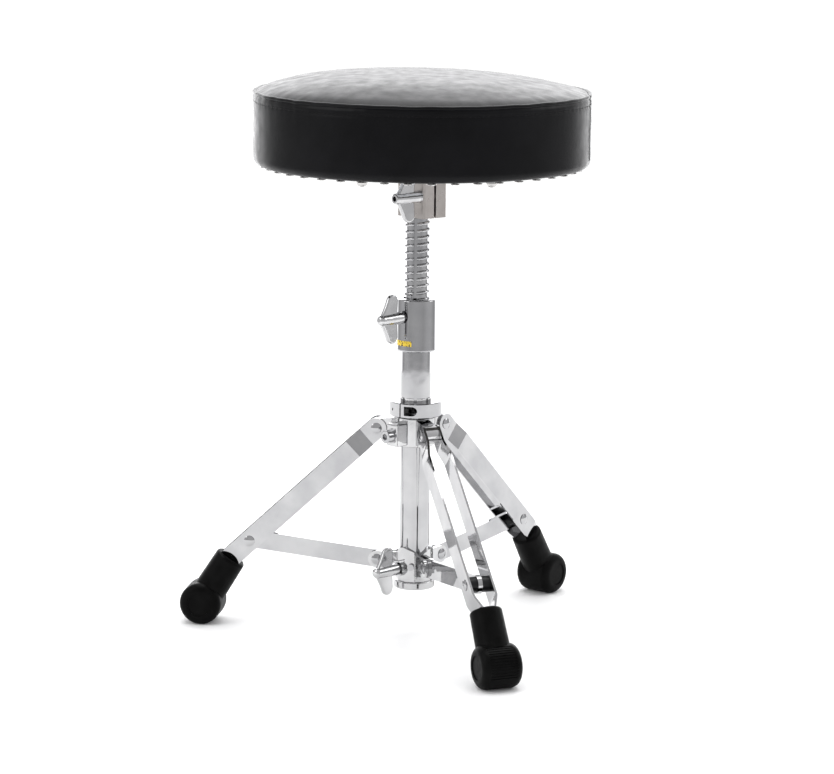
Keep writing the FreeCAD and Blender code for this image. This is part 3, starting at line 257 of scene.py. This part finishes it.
def make_materials():
    """One material for each material slot of the record."""
    black = (0.002, 0.002, 0.0026)
    return {
        "leatherette": leatherette("leatherette", black, (0.004, 0.004, 0.005)),
        "foam": moulded("foam", (0.6, 0.57, 0.46), (0.7, 0.67, 0.56), 0.8, 0.95, 0.001, 0.0002),
        "plywood": plywood("plywood"),
        "tack_steel": metal(
            "tack_steel", (0.45, 0.44, 0.43), (0.6, 0.59, 0.58), 0.16, 0.3, 0.002, 0.00004),
        "zinc_steel": metal(
            "zinc_steel", (0.42, 0.43, 0.45), (0.6, 0.61, 0.62), 0.28, 0.45, 0.003, 0.00005),
        "satin_metal": metal(
            "satin_metal", (0.40, 0.37, 0.35), (0.48, 0.45, 0.43), 0.26, 0.38, 0.0008, 0.00002),
        "chrome": metal(
            "chrome", (0.38, 0.38, 0.39), (0.46, 0.46, 0.465), 0.03, 0.07, 0.03, 0.00012),
        "chrome_casting": metal(
            "chrome_casting", (0.46, 0.46, 0.465), (0.56, 0.56, 0.565), 0.06, 0.14, 0.007, 0.00018),
        "nylon": moulded("nylon", (0.62, 0.62, 0.58), (0.74, 0.74, 0.7), 0.35, 0.5, 0.002, 0.00003),
        "black_screw": metal(
            "black_screw", (0.02, 0.02, 0.02), (0.05, 0.05, 0.05), 0.3, 0.45, 0.001, 0.00003),
        "label_yellow": sticker("label_yellow"),
        "black_plastic": moulded(
            "black_plastic", black, (0.008, 0.008, 0.009), 0.3, 0.42, 0.0006, 0.00002, 0.3),
        "black_rubber": moulded(
            "black_rubber", (0.001, 0.001, 0.001), (0.003, 0.003, 0.003),
            0.36, 0.5, 0.0007, 0.00003, 0.06),
    }


def paint_cad(materials):
    """Gives every CAD node the material of its slot."""
    for part in frame["record"]["subparts"]:
        mesh = frame["nodes"][part["node"]].data
        mesh.materials.clear()
        mesh.materials.append(materials[part["material_slot"]])


# ---- Meshes -------------------------------------------------------------------------------------
def object_from(name, points, faces, material):
    mesh = bpy.data.meshes.new(name)
    mesh.from_pydata([tuple(p) for p in points], [], faces)
    mesh.validate()
    for face in mesh.polygons:
        face.use_smooth = True
    mesh.materials.append(material)
    made = bpy.data.objects.new(name, mesh)
    bpy.context.scene.collection.objects.link(made)
    return made


def ring_faces(rows, columns, first=0):
    """Quads between rows of a closed ring of columns."""
    faces = []
    for i in range(rows - 1):
        for j in range(columns):
            k = (j + 1) % columns
            a, b = first + i * columns, first + (i + 1) * columns
            faces.append((a + j, b + j, b + k, a + k))
    return faces


def close_ends(points, faces, rows, columns):
    """Closes the first and the last row of a turned body, each with a fan of triangles."""
    for first, last in ((0, False), ((rows - 1) * columns, True)):
        middle = len(points)
        points.append(sum(points[first:first + columns], Vector()) / columns)
        for j in range(columns):
            k = (j + 1) % columns
            faces.append((middle, first + k, first + j) if last else (middle, first + j, first + k))


def gauss(distance, width):
    return math.exp(-0.5 * (distance / width) ** 2)


class SeatShape:
    """The seat's measures, all read from the CAD nodes."""

    def __init__(self):
        low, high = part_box("seat_side_band")
        welt_low, welt_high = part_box("seat_piping")
        self.centre = Vector(((low.x + high.x) / 2, (low.y + high.y) / 2, 0))
        self.radius = (high.x - low.x) / 2
        self.low = low.z
        self.welt = (welt_low.z + welt_high.z) / 2 - WELT_DROP
        self.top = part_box("seat_top_panel")[1].z
        self.hem_edge = self.radius - HEM_WIDTH
        board_low, board_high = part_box("seat_board")
        self.board_radius = (board_high.x - board_low.x) / 2

    def at(self, r, bearing, z):
        return self.centre + Vector((r * math.cos(bearing), r * math.sin(bearing), z))

    def profile(self):
        """The cover's section from the middle of the top, over the side, to the edge of the hem.
        Each point is a radius, a height, and the direction that the cover faces there."""
        points = []
        edge = self.radius - 0.8 * MM
        crown = self.top - self.welt
        for i in range(CROWN_ROWS):
            share = 1 - (1 - i / CROWN_ROWS) ** CROWN_ROW_BIAS
            r = edge * share
            slope = crown * CROWN_POWER * share ** (CROWN_POWER - 1) / edge
            facing = Vector((slope, 1)).normalized()
            points.append((r, self.top - crown * share ** CROWN_POWER, facing))
        bottom = self.low + CORNER_RADIUS
        for i in range(SIDE_ROWS + 1):
            z = self.welt + (bottom - self.welt) * i / SIDE_ROWS
            points.append((self.radius, z, Vector((1, 0))))
        for i in range(1, CORNER_ROWS + 1):
            turn = math.pi / 2 * i / CORNER_ROWS
            facing = Vector((math.cos(turn), -math.sin(turn)))
            r = self.radius - CORNER_RADIUS + CORNER_RADIUS * facing.x
            points.append((r, bottom + CORNER_RADIUS * facing.y, facing))
        corner = self.radius - CORNER_RADIUS
        for i in range(1, HEM_ROWS + 1):
            r = corner + (self.hem_edge - corner) * i / HEM_ROWS
            points.append((r, self.low, Vector((0, -1))))
        return points

    def inside(self):
        """The rest of the section, out of sight: back along the board and across its top."""
        face = self.low + HEM_THICKNESS
        board_top = face + BOARD_HEIGHT + SURFACE_CLEARANCE
        return [
            (self.hem_edge, face),
            (self.board_radius + SURFACE_CLEARANCE, face),
            (self.board_radius + SURFACE_CLEARANCE, board_top),
            (self.board_radius * 0.5, board_top),
        ]


# ---- Cover, from a cloth simulation --------------------------------------------------------------
def revolved(shape, section, columns):
    """A closed body turned from a section that starts and ends near the axis."""
    points, faces = [], []
    for r, z in section:
        for j in range(columns):
            points.append(shape.at(r, 2 * math.pi * j / columns, z))
    faces += ring_faces(len(section), columns)
    close_ends(points, faces, len(section), columns)
    return points, faces


def swollen(shape, material):
    """The pad blown up by its filling: held at the welt and under the board, free between."""
    section = [(max(r, 1 * MM), z) for r, z, _ in shape.profile()] + shape.inside()
    shrunk = []
    for r, z in section:
        over = z > shape.low + CORNER_RADIUS
        r_in = r - SIM_SHRINK if over and r > SIM_SHRINK * 2 else r
        shrunk.append((r_in, z - SIM_SHRINK if over else z))
    points, faces = revolved(shape, shrunk, PAD_COLUMNS)
    pad = object_from("pad_sim", points, faces, material)
    bpy.context.view_layer.objects.active = pad
    remesh = pad.modifiers.new("voxels", "REMESH")
    remesh.mode = "VOXEL"
    remesh.voxel_size = VOXEL
    bpy.ops.object.modifier_apply(modifier=remesh.name)
    held = pad.vertex_groups.new(name="held")
    for vertex in pad.data.vertices:
        r = (vertex.co.xy - shape.centre.xy).length
        at_welt = abs(vertex.co.z - shape.welt + SIM_SHRINK) < VOXEL and r > shape.radius - 1.5 * VOXEL
        under = vertex.co.z < shape.low + BOARD_HEIGHT + VOXEL and r < shape.board_radius + VOXEL
        below = vertex.co.z < shape.low + VOXEL
        if at_welt or under or below:
            held.add([vertex.index], 1.0, "REPLACE")
    cloth = pad.modifiers.new("cloth", "CLOTH")
    cloth.settings.quality = 6
    cloth.settings.use_pressure = True
    cloth.settings.uniform_pressure_force = SIM_PRESSURE
    cloth.settings.effector_weights.gravity = 0
    cloth.settings.vertex_group_mass = held.name
    cloth.point_cache.frame_start = 1
    cloth.point_cache.frame_end = SIM_FRAMES
    for step in range(1, SIM_FRAMES + 1):
        bpy.context.scene.frame_set(step)
    solved = pad.evaluated_get(bpy.context.evaluated_depsgraph_get())
    tree = BVHTree.FromObject(pad, bpy.context.evaluated_depsgraph_get())
    moved = max((a.co - b.co).length for a, b in zip(solved.data.vertices, pad.data.vertices))
    print(f"cloth: the pad moved up to {moved * 1000:.1f} mm")
    bpy.context.scene.frame_set(1)
    bpy.data.objects.remove(pad)
    return tree


def relief(shape, r, bearing, z):
    """Small hollows and swells that the simulation is too coarse for, in metres outwards."""
    place_on = shape.at(r, bearing, z)
    below_welt = shape.welt - z
    on_side = r > shape.radius - 2 * MM and z > shape.low + CORNER_RADIUS
    share = r / shape.radius
    around = Vector((math.cos(bearing), math.sin(bearing), 0))
    lift = RIPPLE_HEIGHT * noise.noise(place_on * RIPPLE_FREQUENCY)
    gather = noise.noise(around * GATHER_FREQUENCY + Vector((0, 0, 4)))
    pucker = noise.noise(around * PUCKER_FREQUENCY + Vector((0, 0, 9)))
    to_welt = math.hypot(shape.radius - r, below_welt)
    lift += (GATHER_HEIGHT * gather + PUCKER_HEIGHT * pucker) * math.exp(-to_welt / GATHER_REACH)
    if on_side:
        count = round(2 * math.pi * shape.radius / STITCH_PITCH)
        between = 0.6 + 0.4 * math.cos(bearing * count)
        lift -= STITCH_DIP * between * gauss(below_welt - STITCH_DROP, STITCH_DIP_WIDTH)
        lift += TUCK_HEIGHT * gauss(below_welt - STITCH_DROP / 2, TUCK_WIDTH)
        turn = math.remainder(bearing - math.radians(BAND_SEAM_BEARING), 2 * math.pi)
        along = turn * shape.radius
        lift += SEAM_RIDGE_HEIGHT * gauss(abs(along) - SEAM_RIDGE_OFFSET, SEAM_RIDGE_WIDTH)
        lift -= SEAM_DIP * gauss(along, SEAM_DIP_WIDTH)
    if z > shape.welt:
        lift -= CROWN_LEAN * math.cos(bearing) * share * (1 - share ** 6)
        lift += SHOULDER_HEIGHT * gauss(to_welt - SHOULDER_OFFSET, SHOULDER_WIDTH)
        lift -= CROWN_LOWERING * (1 - share ** 4)
    lift -= WELT_GROOVE_DEPTH * gauss(to_welt, WELT_GROOVE_WIDTH)
    return lift


def outward(facing, bearing):
    """The direction of a point of the section, turned to its bearing."""
    return Vector((facing.x * math.cos(bearing), facing.x * math.sin(bearing), facing.y))


def measured_push(shape, tree, profile):
    """How far the simulation moved the cover at each point of each row, in metres outwards."""
    rows = []
    for r, z, facing in profile:
        row = []
        for bearing in COLUMN_BEARINGS:
            out = outward(facing, bearing)
            start = shape.at(max(r, MM), bearing, z)
            hit = tree.ray_cast(start + out * 4 * SIM_CAP, -out, 8 * SIM_CAP)[0]
            push = (hit - start).dot(out) if hit else 0.0
            row.append(max(-SIM_CAP, min(SIM_CAP, push)))
        rows.append(row)
    return rows


def settled(rows):
    """The pushes with the steps that the voxels leave evened out, round each row and across rows."""
    count = len(rows)
    for _ in range(SETTLE_ROUNDS):
        evened = []
        for i, row in enumerate(rows):
            above = rows[max(i - 1, 0)]
            below = rows[min(i + 1, count - 1)]
            evened.append([
                (4 * row[j] + row[j - 1] + row[(j + 1) % COVER_SEGMENTS] + above[j] + below[j]) / 8
                for j in range(COVER_SEGMENTS)
            ])
        rows = evened
    return rows


def make_cover(shape, material):
    profile = shape.profile()
    pushes = [[0.0] * COVER_SEGMENTS for _ in profile]
    pushes = settled(measured_push(shape, swollen(shape, material), profile))
    points = []
    for (r, z, facing), row in zip(profile, pushes):
        for bearing, push in zip(COLUMN_BEARINGS, row):
            shift = relief(shape, r, bearing, z)
            points.append(shape.at(max(r, MM), bearing, z) + outward(facing, bearing) * (push + shift))
    for r, z in shape.inside():
        points += [shape.at(r, bearing, z) for bearing in COLUMN_BEARINGS]
    count = len(points) // COVER_SEGMENTS
    faces = ring_faces(count, COVER_SEGMENTS)
    close_ends(points, faces, count, COVER_SEGMENTS)
    made = object_from("seat_cover", points, faces, material)
    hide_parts("seat_top_panel", "seat_side_band", "seat_foam")
    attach(made, "seat")
    return made


def cover_radius(tree, shape, bearing, z):
    """How far out the finished cover lies, at a bearing and a height."""
    out = Vector((math.cos(bearing), math.sin(bearing), 0))
    start = shape.at(shape.radius + 30 * MM, bearing, z)
    hit = tree.ray_cast(start, -out, 60 * MM)[0]
    return (hit.xy - shape.centre.xy).length if hit else shape.radius


def make_welt(shape, tree, material):
    """The piping: a covered cord that follows the edge of the top."""
    points = []
    sides = 14
    for j in range(COVER_SEGMENTS):
        bearing = 2 * math.pi * j / COVER_SEGMENTS
        wave = noise.noise(Vector((math.cos(bearing) * 9, math.sin(bearing) * 9, 2.0)))
        r = cover_radius(tree, shape, bearing, shape.welt - 1.5 * MM) - 0.6 * MM
        z = shape.welt + 0.5 * MM * wave
        fat = WELT_RADIUS * (1 + 0.05 * noise.noise(Vector((bearing * 30, 0, 0))))
        for i in range(sides):
            turn = 2 * math.pi * i / sides
            points.append(shape.at(r + fat * math.cos(turn), bearing, z + fat * math.sin(turn)))
    faces = []
    for j in range(COVER_SEGMENTS):
        k = (j + 1) % COVER_SEGMENTS
        for i in range(sides):
            n = (i + 1) % sides
            faces.append((j * sides + i, k * sides + i, k * sides + n, j * sides + n))
    made = object_from("seat_welt", points, faces, material)
    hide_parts("seat_piping")
    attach(made, "seat")
    return made


def thread_bead(points, faces, start, end, radius):
    """Adds one stitch: a short thread, thick in the middle and sunk at its ends."""
    along = end - start
    side = along.cross(Vector((0, 0, 1)))
    if side.length < 1e-6:
        side = along.cross(Vector((1, 0, 0)))
    side.normalize()
    up = side.cross(along).normalized()
    rings, sides = 6, 6
    first = len(points)
    for i in range(rings):
        share = i / (rings - 1)
        fat = radius * math.sin(math.pi * (0.12 + 0.76 * share))
        for j in range(sides):
            turn = 2 * math.pi * j / sides
            offset = side * math.cos(turn) + up * math.sin(turn)
            points.append(start + along * share + offset * fat)
    faces += ring_faces(rings, sides, first)
    faces.append(tuple(first + j for j in reversed(range(sides))))
    faces.append(tuple(first + (rings - 1) * sides + j for j in range(sides)))


def make_stitches(shape, tree, material):
    """The row of stitches under the welt, and the loose end at the upright seam."""
    count = round(2 * math.pi * shape.radius / STITCH_PITCH)
    points, faces = [], []
    z = shape.welt - STITCH_DROP
    for i in range(count):
        middle = 2 * math.pi * i / count
        half = STITCH_LENGTH / 2 / shape.radius
        r = cover_radius(tree, shape, middle, z) + 0.15 * MM
        start = shape.at(r, middle - half, z)
        end = shape.at(r, middle + half, z)
        thread_bead(points, faces, start, end, STITCH_RADIUS)
    draw = random.Random(SEED)
    seam = math.radians(BAND_SEAM_BEARING)
    for i in range(5):
        height = z + draw.uniform(-1.5, 2.0) * MM
        start = shape.at(cover_radius(tree, shape, seam, height) + 0.2 * MM, seam, height)
        tail = Vector((draw.uniform(0.4, 1.6), draw.uniform(-1.6, 1.6), draw.uniform(-2.2, 1.2))) * MM
        thread_bead(points, faces, start, start + tail, STITCH_RADIUS * 0.8)
    made = object_from("seat_stitches", points, faces, material)
    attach(made, "seat")
    return made


# ---- Studio -------------------------------------------------------------------------------------
def make_camera():
    data = bpy.data.cameras.new("camera")
    data.lens = CAMERA_LENS
    data.sensor_width = 36
    data.shift_x = CAMERA_SHIFT
    data.clip_end = 100
    made = bpy.data.objects.new("camera", data)
    pitch = Matrix.Rotation(math.radians(90 - CAMERA_PITCH), 4, "X")
    roll = Matrix.Rotation(math.radians(CAMERA_ROLL), 4, "Z")
    made.matrix_world = Matrix.Translation(CAMERA_PLACE) @ pitch @ roll
    bpy.context.scene.collection.objects.link(made)
    bpy.context.scene.camera = made


def make_floor():
    made, tree, shader = new_material("studio_floor")
    shader.inputs["Roughness"].default_value = 0.9
    shader.inputs["Specular IOR Level"].default_value = 0.1
    tone = two_tone(tree, speckle(tree, 0.6), (0.94, 0.94, 0.94), (0.96, 0.96, 0.96))
    tree.links.new(tone, shader.inputs["Base Color"])
    turns = [2 * math.pi * i / FLOOR_SIDES for i in range(FLOOR_SIDES)]
    edge = [(FLOOR_RADIUS * math.cos(turn), FLOOR_RADIUS * math.sin(turn), 0) for turn in turns]
    floor = object_from("floor", edge, [tuple(range(FLOOR_SIDES))], made)


def make_world():
    """A studio that is brightest behind the object. What the camera sees of it directly is white."""
    world = bpy.data.worlds.new("studio")
    bpy.context.scene.world = world
    world.use_nodes = True
    tree = world.node_tree
    out = tree.nodes["World Output"]
    studio = tree.nodes["Background"]
    where = tree.nodes.new("ShaderNodeTexCoord")
    split = tree.nodes.new("ShaderNodeSeparateXYZ")
    tree.links.new(where.outputs["Generated"], split.inputs["Vector"])
    level = spread(tree, split.outputs["Y"], 0.0, 1.0, -1.0, 1.0)
    ramp = tree.nodes.new("ShaderNodeValToRGB")
    for i, (at, grey) in enumerate(WORLD_STOPS):
        stop = ramp.color_ramp.elements[i] if i < 2 else ramp.color_ramp.elements.new(at)
        stop.position = at
        stop.color = (grey, grey, grey * 1.01, 1)
    tree.links.new(level, ramp.inputs["Fac"])
    tree.links.new(ramp.outputs["Color"], studio.inputs["Color"])
    white = tree.nodes.new("ShaderNodeBackground")
    white.inputs["Strength"].default_value = 1.1
    white.inputs["Color"].default_value = (1, 1, 1, 1)
    ray = tree.nodes.new("ShaderNodeLightPath")
    mix = tree.nodes.new("ShaderNodeMixShader")
    tree.links.new(ray.outputs["Is Camera Ray"], mix.inputs[0])
    tree.links.new(studio.outputs[0], mix.inputs[1])
    tree.links.new(white.outputs[0], mix.inputs[2])
    tree.links.new(mix.outputs[0], out.inputs["Surface"])


def make_light(name, where, size, energy):
    data = bpy.data.lights.new(name, "AREA")
    data.size = size
    data.energy = energy
    made = bpy.data.objects.new(name, data)
    made.location = where
    aim = Vector((0, 0, 0.3)) - Vector(where)
    made.rotation_euler = aim.to_track_quat("-Z", "Y").to_euler()
    bpy.context.scene.collection.objects.link(made)


def make_studio():
    make_camera()
    make_floor()
    make_world()
    make_light("overhead", (0.0, 0.3, 2.6), 2.2, 56)
    make_light("left", (-2.2, -1.0, 1.6), 1.4, 14)
    make_light("right", (2.2, 0.4, 1.4), 1.0, 7)
    bpy.context.scene.view_settings.view_transform = "Standard"


# ---- Build --------------------------------------------------------------------------------------
def make_seat(materials):
    shape = SeatShape()
    cover = make_cover(shape, materials["leatherette"])
    bpy.context.view_layer.update()
    tree = BVHTree.FromObject(cover, bpy.context.evaluated_depsgraph_get())
    make_welt(shape, tree, materials["leatherette"])
    make_stitches(shape, tree, materials["leatherette"])


all_materials = make_materials()
paint_cad(all_materials)
make_seat(all_materials)
make_studio()
